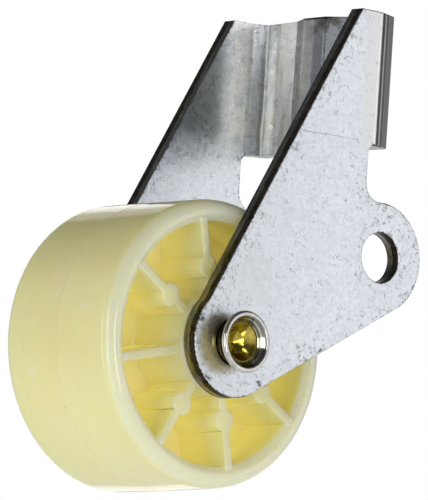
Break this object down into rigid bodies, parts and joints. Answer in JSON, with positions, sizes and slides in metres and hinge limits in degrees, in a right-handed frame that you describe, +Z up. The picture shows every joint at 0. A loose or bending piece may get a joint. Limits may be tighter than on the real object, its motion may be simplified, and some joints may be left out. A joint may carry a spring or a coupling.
{
  "type": "sliding door roller",
  "caption": "Plain-bearing nylon roller for a sliding door: grooved moulded wheel on a riveted axle between the cheeks of a folded steel housing with a pivot hole.",
  "frame": {"origin": "centre of the pivot hole, midway between the two cheeks", "axes": "+X from the wheel towards the web, +Y along the axle and the pivot, away from the flared end of the rivet, +Z up along the folds"},
  "size_m": [0.0517, 0.0317, 0.0662],
  "materials": {
    "galvanised_steel": "mottled galvanised sheet, dark sheared edges",
    "nylon": "natural nylon, semi-gloss, slightly translucent",
    "yellow_zinc": "bright zinc with a yellow passivate",
    "sleeve_steel": "plain turned steel"
  },
  "bodies": {
    "bracket": {"housing": "galvanised_steel", "axle_rivet": "yellow_zinc", "axle_sleeve": "sleeve_steel"},
    "roller": {"wheel": "nylon"}
  },
  "joints": [
    {"name": "wheel_spin", "type": "hinge", "parent": "bracket", "child": "roller", "pos_m": [-0.0254, 0, -0.0145], "axis": [0, 1, 0], "continuous": true}
  ]
}
